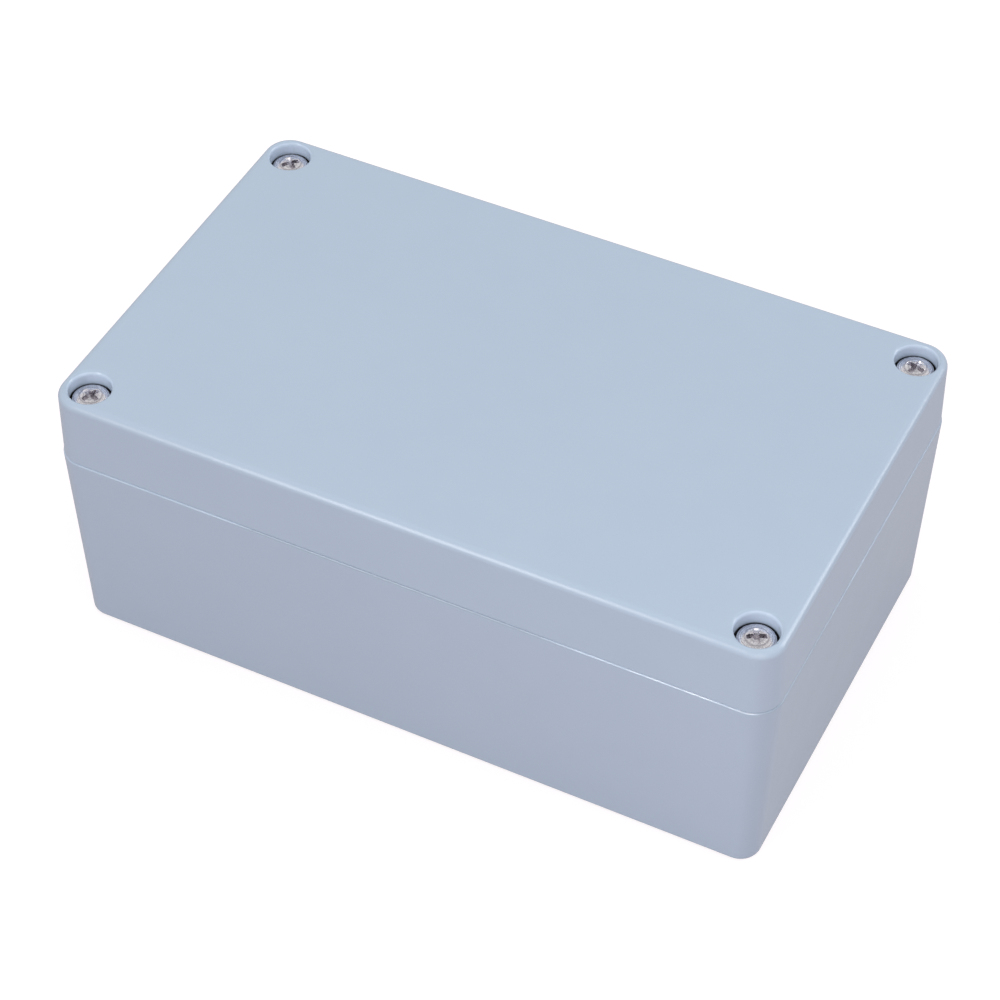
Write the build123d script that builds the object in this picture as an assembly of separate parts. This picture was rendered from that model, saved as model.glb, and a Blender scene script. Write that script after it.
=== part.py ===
"""Die-cast aluminium electronics enclosure: a base and a flush lid that four captive screws hold down.

The base stands on Z = 0 and is centred on the origin, with X along the length and Y across the width.
The parting plane between base and lid is the widest section, and both castings taper away from it.
A tongue on the base's rim presses into a gasket in the lid's groove. The groove runs inside the screws
and inside the wells for the wall screws, so those holes lie outside the seal.
"""
from build123d import *
from math import cos, hypot, radians, sin, tan
import os

# Outside, measured at the base's rim; the lid is set in by a hair, as castings that meet are
length = 160.0
width = 96.0
base_height = 47.5
lid_height = 16.5
corner_radius = 6.3
base_draft = 2.2
lid_draft = 1.0
foot_edge_radius = 1.0
lid_edge_radius = 1.8
rim_edge_radius = 0.4
lid_rim_edge_radius = 0.25
lid_set_in = 0.2

# Walls of the castings
wall = 3.8
floor_thickness = 3.0
roof_thickness = 3.0
cavity_corner_radius = 4.0
pillar_corner_radius = 6.0
inside_edge_radius = 2.0

# Seal: tongue on the base, groove and gasket in the lid
tongue_width = 1.6
tongue_height = 1.5
tongue_edge_radius = 0.3
tongue_side_gap = 0.6
groove_depth = 3.5
groove_rib_width = 1.6
gasket_side_gap = 0.2
gasket_tongue_gap = 0.05
gasket_edge_radius = 0.4

# Lid screws, pan head, and the holes that they pass through
lid_screw_inset = 6.8
lid_screw_length = 25.0
screw_radius = 2.0
thread_gap = 0.05
lid_hole_gap = 0.25
tapped_hole_spare = 2.2
tapped_hole_lead = 0.5
counterbore_depth = 4.5
counterbore_gap = 0.5
counterbore_edge_radius = 1.0
recess_turns = (27.0, 74.0, 48.0, 69.0)

# Pan head with a cross recess, the same on every screw
head_radius = 3.95
head_height = 2.6
head_side_height = 1.6
head_edge_radius = 0.6
recess_span = 4.4
recess_arm_width = 1.1
recess_depth = 2.1
recess_tip_radius = 1.0
recess_edge_radius = 0.1
screw_tip_chamfer = 0.4

# Rubber ring that keeps each lid screw captive, in a recess under the lid
ring_section = 1.8
ring_shank_gap = 0.05
ring_recess_gap = 0.15
ring_parting_gap = 0.1

# Wells in the corner pillars for the wall screws
well_inset_x = 9.0
well_spacing_from_screw = 11.2
well_radius = 4.25
well_floor = 6.0
well_land = 0.85
wall_hole_radius = 2.25
lid_well_side = 0.35
lid_well_depth = 10.0

# Bosses for a circuit board
board_spacing_x = 110.0
board_spacing_y = 60.0
board_boss_radius = 3.5
board_boss_height = 6.0
board_hole_radius = 1.35
board_hole_depth = 6.5
boss_foot_edge_radius = 1.0

# Earth terminal: a boss, and a screw with a plain and a toothed washer
earth_inset = 10.5
earth_boss_radius = 4.6
earth_boss_height = 8.0
earth_screw_length = 8.0
earth_hole_spare = 1.2
washer_radius = 4.5
washer_thickness = 0.8
lock_washer_radius = 4.0
lock_washer_thickness = 0.6
lock_washer_rim = 0.7
lock_washer_teeth = 12
lock_washer_slot = 0.5
washer_hole_gap = 0.15
earth_recess_turn = 30.0

# Places that follow from the sizes above
half_length = length / 2
half_width = width / 2
parting_z = base_height
top_z = base_height + lid_height
screw_x = half_length - lid_screw_inset
screw_y = half_width - lid_screw_inset
well_x = half_length - well_inset_x
well_y = screw_y - well_spacing_from_screw
seal_land = tongue_width + tongue_side_gap + well_land
pillar_x = well_x - well_radius - seal_land
pillar_y = well_y - well_radius - seal_land
board_x = board_spacing_x / 2
board_y = board_spacing_y / 2
board_boss_top = floor_thickness + board_boss_height
seat_z = top_z - counterbore_depth
counterbore_radius = head_radius + counterbore_gap
lid_screw_tip_z = seat_z - lid_screw_length
thread_hole_radius = screw_radius + thread_gap
ring_inner_radius = screw_radius + ring_shank_gap
ring_recess_radius = ring_inner_radius + ring_section + ring_recess_gap
ring_recess_top = parting_z + ring_parting_gap + ring_section + ring_recess_gap
earth_x = earth_inset + wall - half_length
earth_top = floor_thickness + earth_boss_height
lock_washer_z = earth_top + washer_thickness
earth_seat_z = lock_washer_z + lock_washer_thickness
CORNERS = ((1, -1), (1, 1), (-1, 1), (-1, -1))
FROM_BELOW = (Align.CENTER, Align.CENTER, Align.MIN)


def rod(x, y, low, high, radius):
    """Upright cylinder between two heights."""
    return Pos(x, y, low) * Cylinder(radius, high - low, align=FROM_BELOW)


def boss(x, y, low, high, radius):
    """Upright boss that is drafted like the walls, with its radius given at the top."""
    foot_radius = radius + (high - low) * tan(radians(base_draft))
    return Pos(x, y, low) * Cone(foot_radius, radius, high - low, align=FROM_BELOW)


def outside_outline(inset=0.0):
    """Outline of base or lid at the parting plane."""
    outline = RectangleRounded(length - 2 * inset, width - 2 * inset, corner_radius - inset)
    return Pos(0, 0, parting_z) * outline


def cavity_outline(grow=0.0):
    """Inside of the base at the parting plane, its corners taken up by the screw pillars."""
    end_x = half_length - wall + grow
    side_y = half_width - wall + grow
    notch_x = pillar_x + grow
    notch_y = pillar_y + grow
    outline = Rectangle(2 * notch_x, 2 * side_y) + Rectangle(2 * end_x, 2 * notch_y)
    pillar_corners = [v for v in outline.vertices() if abs(v.X) < end_x - 0.1 and abs(v.Y) < side_y - 0.1]
    outline = fillet(pillar_corners, pillar_corner_radius - grow)
    wall_corners = [v for v in outline.vertices() if is_wall_corner(v, end_x, side_y, notch_x, notch_y)]
    outline = fillet(wall_corners, cavity_corner_radius + grow)
    return Pos(0, 0, parting_z) * outline


def is_wall_corner(vertex, end_x, side_y, notch_x, notch_y):
    """Whether a corner of the cavity's outline is where a pillar meets the wall."""
    on_end = abs(abs(vertex.X) - end_x) < 0.01 and abs(abs(vertex.Y) - notch_y) < 0.01
    on_side = abs(abs(vertex.Y) - side_y) < 0.01 and abs(abs(vertex.X) - notch_x) < 0.01
    return on_end or on_side


def edges_at(solid, height):
    """Edges of a solid that lie level at one height."""
    return [e for e in solid.edges() if abs(e.bounding_box().min.Z - height) < 0.01
            and abs(e.bounding_box().max.Z - height) < 0.01]


def base_casting():
    body = extrude(outside_outline(), -base_height, taper=base_draft)
    body = fillet(edges_at(body, 0), foot_edge_radius)
    body = fillet(edges_at(body, parting_z), rim_edge_radius)
    cavity = extrude(cavity_outline(), floor_thickness - base_height, taper=base_draft)
    cavity = fillet(edges_at(cavity, floor_thickness), inside_edge_radius)
    body = body - cavity + seal_tongue()
    for side_x, side_y in CORNERS:
        body += boss(side_x * board_x, side_y * board_y, floor_thickness, board_boss_top, board_boss_radius)
    body += boss(earth_x, 0, floor_thickness, earth_top, earth_boss_radius)
    boss_feet = [edge for edge in edges_at(body, floor_thickness) if edge.is_closed]
    return fillet(boss_feet, boss_foot_edge_radius) - base_holes()


def seal_tongue():
    """Raised ring on the base's rim, flush with the inside of the wall."""
    tongue = extrude(cavity_outline(tongue_width) - cavity_outline(), tongue_height)
    return fillet(edges_at(tongue, parting_z + tongue_height), tongue_edge_radius)


def base_holes():
    """Tapped holes, wells and wall holes of the base."""
    holes = Part()
    for side_x, side_y in CORNERS:
        x = side_x * screw_x
        y = side_y * screw_y
        holes += tapped_hole(x, y, lid_screw_tip_z - tapped_hole_spare, parting_z)
        holes += rod(side_x * well_x, side_y * well_y, well_floor, parting_z, well_radius)
        holes += rod(side_x * well_x, side_y * well_y, 0, well_floor, wall_hole_radius)
        holes += rod(side_x * board_x, side_y * board_y, board_boss_top - board_hole_depth,
                     board_boss_top, board_hole_radius)
    earth_tip_z = earth_seat_z - earth_screw_length
    return holes + tapped_hole(earth_x, 0, earth_tip_z - earth_hole_spare, earth_top)


def tapped_hole(x, y, low, high):
    """Hole for a screw's thread, with a small lead at its mouth."""
    lead = Pos(x, y, high - tapped_hole_lead) * Cone(
        thread_hole_radius, thread_hole_radius + tapped_hole_lead, tapped_hole_lead, align=FROM_BELOW)
    return rod(x, y, low, high, thread_hole_radius) + lead


def lid_casting():
    body = extrude(outside_outline(lid_set_in), lid_height, taper=lid_draft)
    body = fillet(edges_at(body, top_z), lid_edge_radius)
    body = fillet(edges_at(body, parting_z), lid_rim_edge_radius)
    pocket_outline = cavity_outline(-tongue_side_gap - groove_rib_width)
    pocket = extrude(pocket_outline, lid_height - roof_thickness, taper=base_draft)
    pocket = fillet(edges_at(pocket, top_z - roof_thickness), inside_edge_radius)
    groove_outline = cavity_outline(tongue_width + tongue_side_gap) - cavity_outline(-tongue_side_gap)
    body = body - pocket - extrude(groove_outline, groove_depth)
    for side_x, side_y in CORNERS:
        body -= lid_screw_bore(side_x * screw_x, side_y * screw_y)
        body -= rod(side_x * well_x, side_y * well_y, parting_z, parting_z + lid_well_depth,
                    well_radius - lid_well_side)
    return body


def lid_screw_bore(x, y):
    """Counterbore with a rounded mouth, clearance hole and the recess for the captive ring."""
    mouth_radius = counterbore_radius + counterbore_edge_radius
    mouth = rod(x, y, top_z - counterbore_edge_radius, top_z, mouth_radius)
    mouth -= Pos(x, y, top_z - counterbore_edge_radius) * Torus(mouth_radius, counterbore_edge_radius)
    head_bore = rod(x, y, seat_z, top_z, counterbore_radius)
    shank_bore = rod(x, y, parting_z, seat_z, screw_radius + lid_hole_gap)
    ring_recess = rod(x, y, parting_z, ring_recess_top, ring_recess_radius)
    return mouth + head_bore + shank_bore + ring_recess


def gasket():
    """Rubber gasket that lies against the groove's floor, just above the tongue."""
    outer = cavity_outline(tongue_width + tongue_side_gap - gasket_side_gap)
    inner = cavity_outline(gasket_side_gap - tongue_side_gap)
    low = tongue_height + gasket_tongue_gap
    body = extrude(Pos(0, 0, low) * (outer - inner), groove_depth - low)
    return fillet(edges_at(body, parting_z + low), gasket_edge_radius)


def cross_recess():
    """Tool for a cross recess in a head that sits on Z = 0, reaching as far above the head as into it."""
    tip_z = head_height - recess_depth
    mouth_radius = recess_span / 2
    cross = Rectangle(2 * recess_span, recess_arm_width) + Rectangle(recess_arm_width, 2 * recess_span)
    arms = extrude(Pos(0, 0, tip_z) * cross, 2 * recess_depth)
    funnel = Pos(0, 0, tip_z) * Cone(
        recess_tip_radius, 2 * mouth_radius - recess_tip_radius, 2 * recess_depth, align=FROM_BELOW)
    return arms & funnel


def recess_mouth_edges(screw):
    """Edges where the cross recess breaks through the crown of a screw's head."""
    crown = max(screw.faces(), key=lambda face: face.center().Z)
    return [edge for edge in crown.edges() if hypot(edge.center().X, edge.center().Y) < recess_span / 2]


def pan_screw(shank_length):
    """Pan head screw with its seat at Z = 0 and its shank pointing down."""
    side_top = (head_radius, head_side_height)
    outline = Polyline(side_top, (head_radius, 0), (screw_radius, 0),
                       (screw_radius, screw_tip_chamfer - shank_length),
                       (screw_radius - screw_tip_chamfer, -shank_length), (0, -shank_length), (0, head_height))
    crown = TangentArc((0, head_height), side_top, tangent=(1, 0))
    screw = revolve(Plane.XZ * make_face(outline + crown), Axis.Z)
    screw = fillet(edges_at(screw, head_side_height), head_edge_radius) - cross_recess()
    return fillet(recess_mouth_edges(screw), recess_edge_radius)


def captive_ring():
    """Rubber ring round a lid screw's shank, its lowest point at Z = 0."""
    section_radius = ring_section / 2
    return Pos(0, 0, section_radius) * Torus(ring_inner_radius + section_radius, section_radius)


def plain_washer():
    return rod(0, 0, 0, washer_thickness, washer_radius) - rod(
        0, 0, 0, washer_thickness, screw_radius + washer_hole_gap)


def lock_washer():
    """Washer with teeth round its rim, parted by radial slots."""
    hole_radius = screw_radius + washer_hole_gap
    body = rod(0, 0, 0, lock_washer_thickness, lock_washer_radius)
    body -= rod(0, 0, 0, lock_washer_thickness, hole_radius)
    slot_start = hole_radius + lock_washer_rim
    slot_length = lock_washer_radius - slot_start + lock_washer_slot
    for tooth in range(lock_washer_teeth):
        angle = 360 / lock_washer_teeth * tooth
        reach = slot_start + slot_length / 2
        place = Pos(reach * cos(radians(angle)), reach * sin(radians(angle)), 0)
        body -= place * Rot(0, 0, angle) * Box(slot_length, lock_washer_slot, lock_washer_thickness,
                                               align=FROM_BELOW)
    return body


def all_nodes():
    """Every piece in its place, by name."""
    nodes = {"base": base_casting(), "lid": lid_casting(), "gasket": gasket()}
    lid_screw = pan_screw(lid_screw_length)
    ring = captive_ring()
    for number, (side_x, side_y) in enumerate(CORNERS):
        x = side_x * screw_x
        y = side_y * screw_y
        nodes[f"lid_screw_{number + 1}"] = Pos(x, y, seat_z) * Rot(0, 0, recess_turns[number]) * lid_screw
        nodes[f"screw_ring_{number + 1}"] = Pos(x, y, parting_z + ring_parting_gap) * ring
    earth_screw = Rot(0, 0, earth_recess_turn) * pan_screw(earth_screw_length)
    nodes["earth_washer"] = Pos(earth_x, 0, earth_top) * plain_washer()
    nodes["earth_lock_washer"] = Pos(earth_x, 0, lock_washer_z) * lock_washer()
    nodes["earth_screw"] = Pos(earth_x, 0, earth_seat_z) * earth_screw
    return nodes


os.makedirs("parts", exist_ok=True)
for name, piece in all_nodes().items():
    export_step(piece, f"parts/{name}.step")
    print(name, round(piece.volume, 1))
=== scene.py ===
"""Looks of the die-cast enclosure: paint, bright screws with real threads, rubber, brass, light and camera."""
from math import cos, pi, radians, sin

import bmesh
import bpy
from mathutils import Matrix, Vector


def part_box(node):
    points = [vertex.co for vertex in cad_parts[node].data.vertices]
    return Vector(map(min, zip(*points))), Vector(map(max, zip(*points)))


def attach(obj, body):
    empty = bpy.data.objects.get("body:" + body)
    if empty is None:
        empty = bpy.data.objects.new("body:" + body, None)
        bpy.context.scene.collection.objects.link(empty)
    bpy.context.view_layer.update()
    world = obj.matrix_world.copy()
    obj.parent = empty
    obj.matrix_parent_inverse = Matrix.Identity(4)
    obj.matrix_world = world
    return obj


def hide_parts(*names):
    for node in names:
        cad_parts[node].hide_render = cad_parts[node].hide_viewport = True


MM = 0.001
WHITE = (1.0, 1.0, 1.0)

# Camera, fitted to the outline and the parting line
CAMERA_AZIMUTH = 26.59
CAMERA_ELEVATION = 45.67
CAMERA_ROLL = -0.03
CAMERA_DISTANCE = 627.0 * MM
CAMERA_AIM = Vector((1.2, -4.7, 32.0)) * MM
CAMERA_LENS = 107.78
SENSOR_WIDTH = 36.0
NEAREST_SEEN = 0.02
FARTHEST_SEEN = 50.0

# M4 thread, the same on every screw and in every tapped hole; shares are of the pitch
THREAD_PITCH = 0.7 * MM
THREAD_STEPS = 40
CREST_SHARE = 1 / 8
FLANK_SHARE = 5 / 16
SCREW_RADIUS = 2.0 * MM
SCREW_ROOT_RADIUS = 1.57 * MM
SCREW_TIP_RADIUS = 1.6 * MM
SCREW_NECK = 0.8 * MM
HOLE_RADIUS = 2.04 * MM
HOLE_CREST_RADIUS = 1.68 * MM
HOLE_THREAD_GAP = 0.03 * MM
HOLE_SLEEVE = 0.006 * MM
LID_SCREW_LENGTH = 25.0 * MM
EARTH_SCREW_LENGTH = 8.0 * MM
HOLE_SPARE = 2.0 * MM
EARTH_HOLE_SPARE = 1.0 * MM
HOLE_LEAD = 0.5 * MM

# Points closer than this are one point, and edges that turn by more than this angle stay sharp
MERGE_DISTANCE = 0.0005 * MM
SHARP_ANGLE = 28

# Paint, and how fine its texture is
PAINT_COLOR = (0.457, 0.551, 0.678)
PAINT_DEEP_COLOR = (0.443, 0.536, 0.664)
PAINT_SLOW_SIZE = 45 * MM
PAINT_CLOUD_SIZE = 9 * MM
PAINT_ROUGHNESS = 0.24
PAINT_ROUGHNESS_CHANGE = 0.02
PAINT_GLOSS_SIZE = 12 * MM
PAINT_IOR = 1.5
ORANGE_PEEL_SIZE = 1.6 * MM
ORANGE_PEEL_HEIGHT = 0.006 * MM
GRAIN_SIZE = 0.25 * MM
GRAIN_HEIGHT = 0.0012 * MM

# Rim of the base, with the ranges over which the front and the right side start
RIM_TOP = 47.5 * MM
RIM_BLUR = 0.02 * MM
RIM_FRONT = (-46 * MM, -40 * MM)
RIM_RIGHT = (76 * MM, 78 * MM)

# Paint rubbed to bright metal along the rim, a line that also stands as a painted highlight of the rim's edge,
# most at the right end of the front
RIM_METAL_COLOR = (0.86, 0.87, 0.90)
RIM_HIGHLIGHT_DEPTH = 0.30 * MM
RIM_HIGHLIGHT_ALONG = (30 * MM, 62 * MM)
RIM_HIGHLIGHT_BREAKS = 5 * MM
RIM_HIGHLIGHT_SHARE = 0.42

# Painted shade that dulls the rim's bright line: from left to right along the front, and from the front along
# the right side
RIM_SHADE_SCALE = 0.80
RIM_SHADE_DEPTH = 0.45 * MM
RIM_SHADE_FADE = 0.1 * MM
RIM_SHADE_START = (-38 * MM, -32 * MM)
RIM_SHADE_END = (27 * MM, 40 * MM)
RIM_SHADE_SIDE = (-22 * MM, -8 * MM)

# Painted light that makes the paint in the lid's counterbores lighter, and painted shade round each head, up
# to a height over the head's seat
BORE_PAINTED_LIGHT_COLOR = (0.575, 0.670, 0.815)
BORE_RADIUS = 4.65 * MM
BORE_BLUR = 0.2 * MM
GAP_SHADE_COLOR = (0.035, 0.036, 0.042)
GAP_SHADE_TOP = 1.5 * MM

# Screw steel, with turning marks on the screws
TURNED_COLORS = ((0.50, 0.48, 0.52), (1.0, 0.97, 1.0))
TURNED_ROUGHNESS = (0.18, 0.30)
TURNED_CLOUD_SIZE = 0.35 * MM
TURNED_CLOUD_SHARE = 0.5
TURNING_SIZE = 0.42 * MM
TURNING_HEIGHT = 0.016 * MM
FINE_TURNING_SIZE = 0.09 * MM
FINE_TURNING_HEIGHT = 0.002 * MM

# Plain metals: sizes of their tone changes, two tones, and roughness from low to high
STEEL_TONE_SIZE = 0.5 * MM
STEEL_COLORS = ((0.60, 0.58, 0.57), (0.78, 0.76, 0.75))
STEEL_ROUGHNESS = (0.22, 0.34)
BRASS_TONE_SIZE = 0.9 * MM
BRASS_COLORS = ((0.62, 0.42, 0.16), (0.82, 0.62, 0.28))
BRASS_ROUGHNESS = (0.22, 0.36)
METAL_GLOSS_SIZE = 0.8 * MM
METAL_MARK_SIZE = 0.12 * MM
METAL_MARK_HEIGHT = 0.002 * MM

# Rubber, with dust on it
RUBBER_COLORS = ((0.012, 0.012, 0.013), (0.040, 0.040, 0.042))
RUBBER_ROUGHNESS = (0.62, 0.78)
RUBBER_DUST_SIZE = 1.5 * MM
RUBBER_GLOSS_SIZE = 2 * MM
RUBBER_SKIN_SIZE = 0.15 * MM
RUBBER_SKIN_HEIGHT = 0.006 * MM

# Studio light: each lamp's bearing from the front, its height above the horizon, its distance, sides and power
KEY = {"bearing": -20.5, "height": 26.5, "distance": 1.2, "width": 0.27, "depth": 0.66, "power": 3.4}
RIM = {"bearing": 124.0, "height": 20.0, "distance": 1.2, "width": 0.42, "depth": 0.70, "power": 3.6}
FILL = {"bearing": 31.0, "height": 18.0, "distance": 0.40, "width": 0.30, "depth": 0.30, "power": 0.36}
RIM_COLOR = (0.93, 0.97, 1.0)
FILL_COLOR = (0.98, 0.95, 0.95)
LAMP_TARGET = Vector((0.0, 0.0, 30.0)) * MM

# Sky that lights the object, from the horizon to the zenith, and how bright the zenith is in reflections
HORIZON_COLOR = (0.18, 0.16, 0.18)
ZENITH_COLOR = (1.105, 1.13, 1.11)
ZENITH_SHEEN = 0.58

# Floor: its own colour, the white that it shows to the camera, and the share of that white in reflections
FLOOR_COLOR = (0.365, 0.31, 0.33)
FLOOR_GLOW = 0.75
FLOOR_SHEEN = 0.35
FLOOR_REACH = 6.0
FLOOR_DROP = 0.05 * MM


class Nodes:
    """Small helper that builds a material's node tree."""

    def __init__(self, name):
        self.material = bpy.data.materials.new(name)
        self.material.use_nodes = True
        self.tree = self.material.node_tree
        self.tree.nodes.clear()
        self.output = self.add("ShaderNodeOutputMaterial")

    def add(self, kind, inputs=None, **settings):
        """A node with these settings, whose inputs are numbers or other nodes' outputs."""
        node = self.tree.nodes.new(kind)
        for key, value in settings.items():
            setattr(node, key, value)
        for key, value in (inputs or {}).items():
            if isinstance(value, bpy.types.NodeSocket):
                self.tree.links.new(value, node.inputs[key])
            else:
                node.inputs[key].default_value = value
        return node

    def math(self, operation, first, second):
        return self.add("ShaderNodeMath", {0: first, 1: second}, operation=operation).outputs[0]

    def vector_math(self, operation, *inputs):
        return self.add("ShaderNodeVectorMath", dict(enumerate(inputs)), operation=operation).outputs

    def product(self, first, *others):
        for other in others:
            first = self.math("MULTIPLY", first, other)
        return first

    def place(self):
        """Coordinates in metres in the object's own space."""
        return self.add("ShaderNodeTexCoord").outputs["Object"]

    def noise(self, size, detail=3.0, roughness=0.5):
        """Noise whose features are about one size across, from 0 to 1."""
        return self.add("ShaderNodeTexNoise", {"Vector": self.place(), "Scale": 1.0 / size, "Detail": detail,
                                               "Roughness": roughness}).outputs["Fac"]

    def off_axis(self, place):
        """Distance of a place from the upright axis."""
        level = self.vector_math("MULTIPLY", place, (1.0, 1.0, 0.0))[0]
        return self.vector_math("LENGTH", level)["Value"]

    def rings(self, size, detail):
        """Noise in rings about one size wide round the object's upright axis."""
        count = self.math("MULTIPLY", self.off_axis(self.place()), 1.0 / size)
        return self.add("ShaderNodeTexNoise", {"W": count, "Scale": 1.0, "Detail": detail},
                        noise_dimensions="1D").outputs["Fac"]

    def spread(self, value, low, high, from_low=0.3, from_high=0.7):
        """A value mapped to another range, and held at its ends."""
        return self.add("ShaderNodeMapRange", {"Value": value, "From Min": from_low, "From Max": from_high,
                                               "To Min": low, "To Max": high}).outputs["Result"]

    def mix(self, share, color_a, color_b):
        """Colour between two colours, or outputs that give them."""
        node = self.add("ShaderNodeMix", data_type="RGBA")
        self.tree.links.new(share, node.inputs[0])
        for socket, color in ((node.inputs[6], color_a), (node.inputs[7], color_b)):
            if isinstance(color, bpy.types.NodeSocket):
                self.tree.links.new(color, socket)
            else:
                socket.default_value = (*color, 1.0)
        return node.outputs[2]

    def bump(self, height, distance, normal=None):
        """Normal of a relief that is this deep, on top of another one if given."""
        inputs = {"Height": height, "Distance": distance, "Strength": 1.0}
        if normal is not None:
            inputs["Normal"] = normal
        return self.add("ShaderNodeBump", inputs).outputs["Normal"]

    def finish(self, **inputs):
        """Principled shader with these sockets, joined to the output."""
        shader = self.add("ShaderNodeBsdfPrincipled", {k.replace("_", " "): v for k, v in inputs.items()})
        self.tree.links.new(shader.outputs["BSDF"], self.output.inputs["Surface"])
        return self.material


def paint_material():
    """Satin stoving paint on a die casting: orange peel, fine grain, slow changes of tone, a metal rim line as
    a painted highlight, painted shade on the rim and round the heads, painted light in the counterbores.
    """
    n = Nodes("satin_paint")
    clouds = n.math("ADD", n.noise(PAINT_SLOW_SIZE, detail=1.0), n.noise(PAINT_CLOUD_SIZE, detail=2.0))
    color = n.mix(n.spread(clouds, 0.0, 1.0, 0.5, 1.5), PAINT_DEEP_COLOR, PAINT_COLOR)
    peel = n.bump(n.noise(ORANGE_PEEL_SIZE, detail=1.0), ORANGE_PEEL_HEIGHT)
    grain = n.bump(n.noise(GRAIN_SIZE, detail=2.0), GRAIN_HEIGHT, peel)
    roughness = n.spread(n.noise(PAINT_GLOSS_SIZE, detail=2.0), PAINT_ROUGHNESS - PAINT_ROUGHNESS_CHANGE,
                         PAINT_ROUGHNESS + PAINT_ROUGHNESS_CHANGE, 0.2, 0.8)
    # Painted shade darkens the rim's rounded edge, so that its bright line fades out in stretches
    rim_shade = rim_painted_shade(n)
    # Bright metal line along the rim, which paints the rim's edge highlight
    worn_highlight = n.product(rim_wear_highlight(n), n.math("SUBTRACT", 1.0, rim_shade))
    color = n.mix(worn_highlight, color, RIM_METAL_COLOR)
    # Darker paint on the rim's edge as painted shade
    color = n.mix(rim_shade, color, tuple(RIM_SHADE_SCALE * part for part in PAINT_COLOR))
    wall, gap = beside_heads(n)
    # Painted light: lighter paint on the counterbore walls
    color = n.mix(wall, color, BORE_PAINTED_LIGHT_COLOR)
    # Painted shade: near-black paint in the gap round each head
    color = n.mix(gap, color, GAP_SHADE_COLOR)
    return n.finish(Base_Color=color, Roughness=roughness, Metallic=worn_highlight, IOR=PAINT_IOR, Normal=grain)


def rim_band(n, height, low, high):
    """Share that rises between two heights on the base's rim and leaves out the lid above it."""
    above = n.spread(height, 0.0, 1.0, low, high)
    under_lid = n.spread(height, 1.0, 0.0, RIM_TOP, RIM_TOP + RIM_BLUR)
    return n.product(above, under_lid)


def rim_wear_highlight(n):
    """Share of bare metal as a painted highlight: a thin, broken line along the base's rim."""
    x, y, z = n.add("ShaderNodeSeparateXYZ", {0: n.place()}).outputs
    line = rim_band(n, z, RIM_TOP - RIM_HIGHLIGHT_DEPTH, RIM_TOP - RIM_HIGHLIGHT_DEPTH / 2)
    along = n.spread(x, 0.15, 1.0, *RIM_HIGHLIGHT_ALONG)
    front = n.spread(y, 1.0, 0.2, *RIM_FRONT)
    broken = n.spread(n.noise(RIM_HIGHLIGHT_BREAKS), 0.3, 1.0, 0.42, 0.55)
    return n.product(RIM_HIGHLIGHT_SHARE, line, along, front, broken)


def rim_painted_shade(n):
    """Share of painted shade on the rounded edge along the base's rim, where its bright line fades out."""
    x, y, z = n.add("ShaderNodeSeparateXYZ", {0: n.place()}).outputs
    low = RIM_TOP - RIM_SHADE_DEPTH
    line = rim_band(n, z, low, low + RIM_SHADE_FADE)
    front = n.product(n.spread(x, 0.0, 1.0, *RIM_SHADE_START), n.spread(x, 1.0, 0.0, *RIM_SHADE_END))
    side = n.product(n.spread(x, 0.0, 1.0, *RIM_RIGHT), n.spread(y, 1.0, 0.5, *RIM_SHADE_SIDE))
    return n.product(n.math("MAXIMUM", front, side), line)


def beside_heads(n):
    """Shares of counterbore wall, lit with painted light, and of the gap round the heads of the lid's four
    screws, darkened with painted shade.
    """
    low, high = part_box("lid_screw_1")
    axis = (low + high) / 2
    seat = low.z + LID_SCREW_LENGTH
    place = n.vector_math("ABSOLUTE", n.place())[0]
    from_axis = n.vector_math("SUBTRACT", place, (abs(axis.x), abs(axis.y), 0.0))[0]
    near = n.spread(n.off_axis(from_axis), 1.0, 0.0, BORE_RADIUS, BORE_RADIUS + BORE_BLUR)
    height = n.add("ShaderNodeSeparateXYZ", {0: place}).outputs["Z"]
    over = n.spread(height, 0.0, 1.0, seat - 2 * BORE_BLUR, seat - BORE_BLUR)
    under = n.spread(height, 1.0, 0.0, seat + GAP_SHADE_TOP - 2 * BORE_BLUR, seat + GAP_SHADE_TOP)
    wall = n.product(near, over)
    return wall, n.product(wall, under)


def metal_material(name, tone_size, colors, roughness_range):
    """Bright metal with small changes of tone and gloss."""
    n = Nodes(name)
    color = n.mix(n.spread(n.noise(tone_size, detail=4.0), 0.0, 1.0), *colors)
    marks = n.bump(n.noise(METAL_MARK_SIZE), METAL_MARK_HEIGHT)
    roughness = n.spread(n.noise(METAL_GLOSS_SIZE, detail=2.0), *roughness_range)
    return n.finish(Base_Color=color, Roughness=roughness, Metallic=1.0, Normal=marks)


def turned_steel_material():
    """Plated steel of a screw, with rings round its axis as a die leaves them and darker steel in places."""
    n = Nodes("turned_steel")
    broad = n.rings(TURNING_SIZE, detail=2.0)
    fine = n.rings(FINE_TURNING_SIZE, detail=1.0)
    cloud = n.noise(TURNED_CLOUD_SIZE)
    mixed = n.math("ADD", broad, n.math("MULTIPLY", cloud, TURNED_CLOUD_SHARE))
    color = n.mix(n.spread(mixed, 0.0, 1.0, 0.60, 0.90), *TURNED_COLORS)
    marks = n.bump(fine, FINE_TURNING_HEIGHT, n.bump(broad, TURNING_HEIGHT))
    roughness = n.spread(cloud, *TURNED_ROUGHNESS)
    return n.finish(Base_Color=color, Roughness=roughness, Metallic=1.0, Normal=marks)


def rubber_material():
    """Black sealing rubber, slightly dusty."""
    n = Nodes("black_rubber")
    dust = n.spread(n.noise(RUBBER_DUST_SIZE, detail=5.0, roughness=0.65), 0.0, 1.0, 0.45, 0.75)
    color = n.mix(dust, *RUBBER_COLORS)
    skin = n.bump(n.noise(RUBBER_SKIN_SIZE, detail=2.0), RUBBER_SKIN_HEIGHT)
    roughness = n.spread(n.noise(RUBBER_GLOSS_SIZE), *RUBBER_ROUGHNESS)
    return n.finish(Base_Color=color, Roughness=roughness, Metallic=0.0, Normal=skin)


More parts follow.
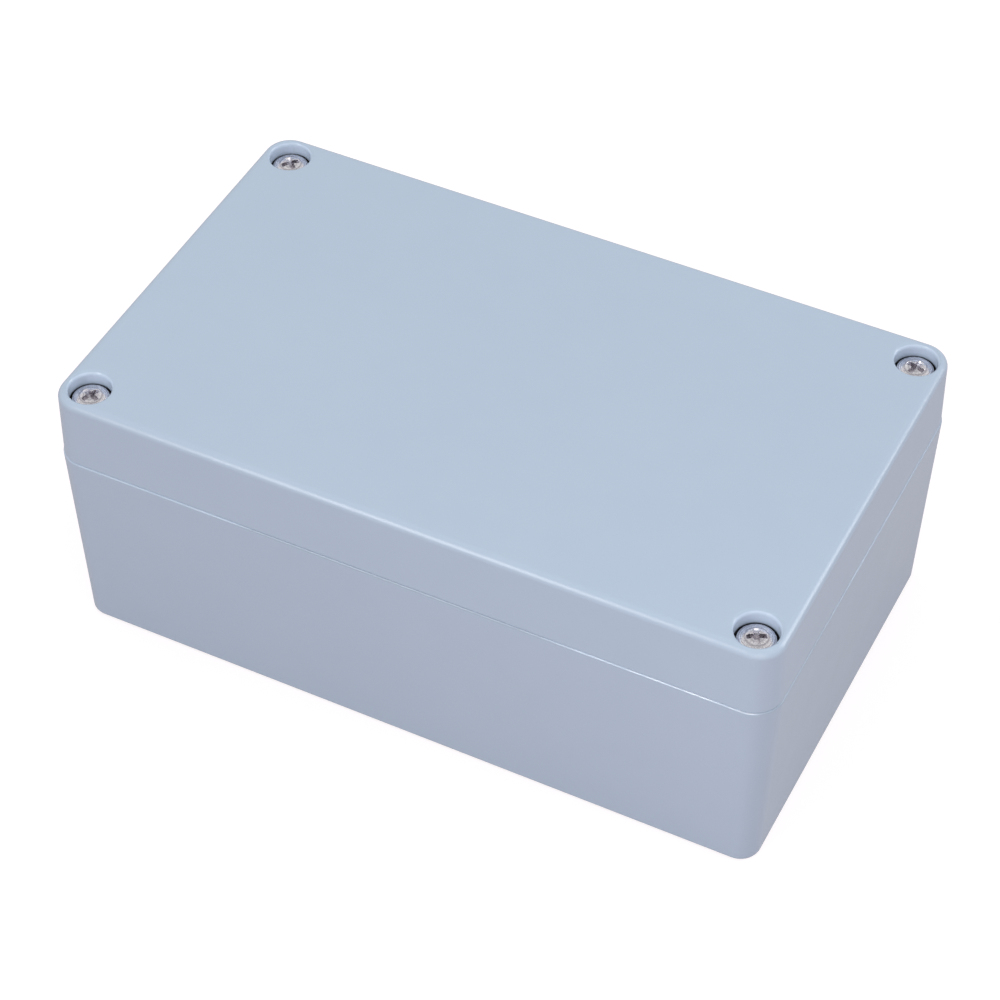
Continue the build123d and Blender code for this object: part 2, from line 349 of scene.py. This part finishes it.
def use_material(piece, material):
    """One material on every slot of a piece."""
    if not piece.data.materials:
        piece.data.materials.append(material)
    for slot in piece.material_slots:
        slot.link = "DATA"
        slot.material = material


def flank_place(radius):
    """Where the lower flank of a screw's thread passes a radius, as a share of the pitch."""
    return CREST_SHARE + FLANK_SHARE * (SCREW_RADIUS - radius) / (SCREW_RADIUS - SCREW_ROOT_RADIUS)


def thread_profile(wide_radius, narrow_radius, gap):
    """One pitch of thread, going up, as shares of the pitch with their radii."""
    lower = [(flank_place(radius) + gap / THREAD_PITCH, radius) for radius in (wide_radius, narrow_radius)]
    return lower + [(1 + CREST_SHARE - share, radius) for share, radius in reversed(lower)]


def add_thread(shape, axis, low, high, profile, low_radius, high_radius):
    """Right-hand helical surface between two heights, with every column of it run out to a radius at each end.

    All threads count their turns from the same height, so a screw's thread lies in its hole's thread.
    """
    first_turn = int(low / THREAD_PITCH) - 2
    last_turn = int(high / THREAD_PITCH) + 3
    tapered = low_radius < profile[0][1]
    columns = []
    for step in range(THREAD_STEPS):
        angle = 2 * pi * step / THREAD_STEPS
        column = []
        for turn in range(first_turn, last_turn):
            for share, radius in profile:
                z = (turn + share + step / THREAD_STEPS) * THREAD_PITCH
                if z <= low:
                    z, radius = low, low_radius
                elif z >= high:
                    z, radius = high, high_radius
                elif tapered:
                    radius = min(radius, low_radius + z - low)
                column.append(shape.verts.new((axis.x + radius * cos(angle), axis.y + radius * sin(angle), z)))
        columns.append(column)
    rows = len(columns[0])
    for step, column in enumerate(columns):
        beside = columns[(step + 1) % THREAD_STEPS]
        shift = len(profile) if step == THREAD_STEPS - 1 else 0
        for row in range(rows - 1 - shift):
            shape.faces.new((column[row], beside[row + shift], beside[row + shift + 1], column[row + 1]))


def merge_points(shape):
    bmesh.ops.remove_doubles(shape, verts=shape.verts, dist=MERGE_DISTANCE)


def close_mesh(shape):
    """Merges what coincides, caps open rings and turns all faces outward."""
    merge_points(shape)
    bmesh.ops.dissolve_degenerate(shape, edges=shape.edges, dist=MERGE_DISTANCE)
    open_edges = [edge for edge in shape.edges if edge.is_boundary]
    bmesh.ops.holes_fill(shape, edges=open_edges, sides=0)
    bmesh.ops.recalc_face_normals(shape, faces=shape.faces)


def as_piece(name, shape, origin, body, material):
    """A mesh with its origin on its axis, sharp at its corners and smooth elsewhere, that rides on a body."""
    for face in shape.faces:
        face.smooth = True
    for edge in shape.edges:
        edge.smooth = edge.is_manifold and edge.calc_face_angle(0.0) < radians(SHARP_ANGLE)
    bmesh.ops.translate(shape, verts=shape.verts, vec=-origin)
    mesh = bpy.data.meshes.new(name)
    shape.to_mesh(mesh)
    shape.free()
    piece = bpy.data.objects.new(name, mesh)
    piece.location = origin
    bpy.context.scene.collection.objects.link(piece)
    use_material(piece, material)
    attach(piece, body)
    return piece


def threaded_screw(node, shank_length, body, material):
    """The screw's own head with a short plain neck, and a real thread below it."""
    low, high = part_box(node)
    axis = (low + high) / 2
    seat = low.z + shank_length
    neck_end = seat - SCREW_NECK
    shape = bmesh.new()
    shape.from_mesh(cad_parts[node].data)
    merge_points(shape)
    cut = bmesh.ops.bisect_plane(shape, geom=shape.verts[:] + shape.edges[:] + shape.faces[:],
                                 plane_co=(0, 0, neck_end), plane_no=(0, 0, 1), clear_inner=True)
    cut_edges = [edge for edge in cut["geom_cut"] if isinstance(edge, bmesh.types.BMEdge)]
    bmesh.ops.holes_fill(shape, edges=cut_edges, sides=0)
    thread = bmesh.new()
    profile = thread_profile(SCREW_RADIUS, SCREW_ROOT_RADIUS, 0.0)
    add_thread(thread, axis, low.z, neck_end + THREAD_PITCH * CREST_SHARE, profile,
               SCREW_TIP_RADIUS, SCREW_ROOT_RADIUS)
    close_mesh(thread)
    part = bpy.data.meshes.new("thread_part")
    thread.to_mesh(part)
    thread.free()
    shape.from_mesh(part)
    bpy.data.meshes.remove(part)
    piece = as_piece(f"{node}_threaded", shape, Vector((axis.x, axis.y, seat)), body, material)
    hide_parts(node)


def hole_thread(name, screw_node, low, high, material):
    """Thread that is cut in a tapped hole, as a thin sleeve with the helix inside."""
    axis = (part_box(screw_node)[0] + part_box(screw_node)[1]) / 2
    shape = bmesh.new()
    profile = thread_profile(HOLE_RADIUS, HOLE_CREST_RADIUS, HOLE_THREAD_GAP)
    add_thread(shape, axis, low, high, profile, HOLE_RADIUS, HOLE_RADIUS)
    merge_points(shape)
    for edge in [edge for edge in shape.edges if edge.is_boundary]:
        outer = []
        for vertex in edge.verts:
            away = Vector((vertex.co.x - axis.x, vertex.co.y - axis.y, 0)).normalized()
            outer.append(shape.verts.new(vertex.co + away * HOLE_SLEEVE))
        shape.faces.new((edge.verts[0], edge.verts[1], outer[1], outer[0]))
    merge_points(shape)
    bmesh.ops.bridge_loops(shape, edges=[edge for edge in shape.edges if edge.is_boundary])
    bmesh.ops.recalc_face_normals(shape, faces=shape.faces)
    as_piece(name, shape, Vector((axis.x, axis.y, high)), "base", material)


def aim_camera():
    """Camera at the photograph's angle, with a small roll about its own axis."""
    azimuth = radians(CAMERA_AZIMUTH)
    elevation = radians(CAMERA_ELEVATION)
    back = Vector((sin(azimuth) * cos(elevation), -cos(azimuth) * cos(elevation), sin(elevation)))
    right = (-back).cross(Vector((0, 0, 1))).normalized()
    up = back.cross(right)
    turn = Matrix.Rotation(radians(CAMERA_ROLL), 3, back)
    axes = Matrix((turn @ right, turn @ up, back)).transposed()
    camera = bpy.data.objects.new("camera", bpy.data.cameras.new("camera"))
    camera.matrix_world = Matrix.Translation(CAMERA_AIM + back * CAMERA_DISTANCE) @ axes.to_4x4()
    camera.data.lens = CAMERA_LENS
    camera.data.sensor_width = SENSOR_WIDTH
    camera.data.clip_start = NEAREST_SEEN
    camera.data.clip_end = FARTHEST_SEEN
    bpy.context.scene.collection.objects.link(camera)
    bpy.context.scene.camera = camera


def softbox(name, bearing, height, distance, width, depth, power, color=WHITE):
    """Rectangular lamp that faces the object from a bearing, measured from the front towards the right."""
    bearing = radians(bearing)
    height = radians(height)
    away = Vector((sin(bearing) * cos(height), -cos(bearing) * cos(height), sin(height)))
    lamp = bpy.data.lights.new(name, "AREA")
    lamp.shape = "RECTANGLE"
    lamp.size = width
    lamp.size_y = depth
    lamp.energy = power
    lamp.color = color
    light = bpy.data.objects.new(name, lamp)
    light.location = LAMP_TARGET + away * distance
    light.rotation_euler = away.to_track_quat("Z", "Y").to_euler()
    bpy.context.scene.collection.objects.link(light)


def seen_ray(tree, sheen):
    """1 for rays from the camera, the sheen's share for rays that see the background in a surface, else 0."""
    path = tree.nodes.new("ShaderNodeLightPath")
    seen = path.outputs["Is Camera Ray"]
    for kind in ("Is Glossy Ray", "Is Transmission Ray"):
        share = tree.nodes.new("ShaderNodeMath")
        share.operation = "MULTIPLY"
        share.inputs[1].default_value = sheen
        tree.links.new(path.outputs[kind], share.inputs[0])
        either = tree.nodes.new("ShaderNodeMath")
        either.operation = "MAXIMUM"
        tree.links.new(seen, either.inputs[0])
        tree.links.new(share.outputs[0], either.inputs[1])
        seen = either.outputs[0]
    return seen


def light_scene():
    """Three soft lamps, and a sky that is plain white at the horizon for rays that see it."""
    softbox("key", **KEY)
    softbox("rim", **RIM, color=RIM_COLOR)
    softbox("fill", **FILL, color=FILL_COLOR)
    world = bpy.data.worlds.new("studio")
    bpy.context.scene.world = world
    world.use_nodes = True
    tree = world.node_tree
    tree.nodes.clear()
    direction = tree.nodes.new("ShaderNodeTexCoord")
    split = tree.nodes.new("ShaderNodeSeparateXYZ")
    tree.links.new(direction.outputs["Generated"], split.inputs[0])
    output = tree.nodes.new("ShaderNodeOutputWorld")
    both = tree.nodes.new("ShaderNodeMixShader")
    tree.links.new(seen_ray(tree, 1.0), both.inputs[0])
    skies = ((HORIZON_COLOR, ZENITH_COLOR), (WHITE, (ZENITH_SHEEN,) * 3))
    for number, (low_color, high_color) in enumerate(skies, 1):
        blend = tree.nodes.new("ShaderNodeMix")
        blend.data_type = "RGBA"
        blend.inputs[6].default_value = (*low_color, 1.0)
        blend.inputs[7].default_value = (*high_color, 1.0)
        sky = tree.nodes.new("ShaderNodeBackground")
        tree.links.new(split.outputs["Z"], blend.inputs[0])
        tree.links.new(blend.outputs[2], sky.inputs["Color"])
        tree.links.new(sky.outputs[0], both.inputs[number])
    tree.links.new(both.outputs[0], output.inputs["Surface"])


def lay_floor():
    """Pale floor that keeps the object's shadow."""
    mesh = bpy.data.meshes.new("floor")
    shape = bmesh.new()
    bmesh.ops.create_grid(shape, x_segments=2, y_segments=2, size=FLOOR_REACH)
    shape.to_mesh(mesh)
    shape.free()
    floor = bpy.data.objects.new("floor", mesh)
    floor.location.z = -FLOOR_DROP
    bpy.context.scene.collection.objects.link(floor)
    n = Nodes("pale_floor")
    plain = n.add("ShaderNodeBsdfDiffuse", {"Color": (*FLOOR_COLOR, 1.0)})
    strength = n.math("MULTIPLY", seen_ray(n.tree, FLOOR_SHEEN), FLOOR_GLOW)
    glow = n.add("ShaderNodeEmission", {"Color": (*WHITE, 1.0), "Strength": strength})
    both = n.add("ShaderNodeAddShader", {0: plain.outputs[0], 1: glow.outputs[0]})
    n.tree.links.new(both.outputs[0], n.output.inputs["Surface"])
    use_material(floor, n.material)


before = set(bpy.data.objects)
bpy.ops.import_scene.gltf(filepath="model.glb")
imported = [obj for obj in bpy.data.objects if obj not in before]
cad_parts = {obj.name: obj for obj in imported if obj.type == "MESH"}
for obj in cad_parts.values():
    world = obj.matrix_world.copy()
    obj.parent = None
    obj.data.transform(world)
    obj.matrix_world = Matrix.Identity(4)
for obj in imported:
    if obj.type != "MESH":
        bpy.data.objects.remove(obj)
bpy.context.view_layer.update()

aim_camera()
light_scene()
lay_floor()

paint = paint_material()
steel = metal_material("bright_steel", STEEL_TONE_SIZE, STEEL_COLORS, STEEL_ROUGHNESS)
turned_steel = turned_steel_material()
rubber = rubber_material()
brass = metal_material("machined_brass", BRASS_TONE_SIZE, BRASS_COLORS, BRASS_ROUGHNESS)
looks = {"base": paint, "lid": paint, "gasket": rubber, "earth_screw": brass, "earth_washer": brass,
         "earth_lock_washer": steel}
for number in range(1, 5):
    looks[f"lid_screw_{number}"] = steel
    looks[f"screw_ring_{number}"] = rubber
for name, material in looks.items():
    use_material(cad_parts[name], material)

parting_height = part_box("lid")[0].z
for number in range(1, 5):
    node = f"lid_screw_{number}"
    threaded_screw(node, LID_SCREW_LENGTH, f"screw_{number}", turned_steel)
    tip_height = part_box(node)[0].z
    hole_thread(f"tapped_hole_{number}", node, tip_height - HOLE_SPARE, parting_height - HOLE_LEAD, steel)
threaded_screw("earth_screw", EARTH_SCREW_LENGTH, "earth_screw", brass)
earth_tip_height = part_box("earth_screw")[0].z
hole_thread("tapped_hole_earth", "earth_screw", earth_tip_height - EARTH_HOLE_SPARE,
            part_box("earth_washer")[0].z - HOLE_LEAD, steel)

bpy.context.scene.view_settings.view_transform = "Standard"
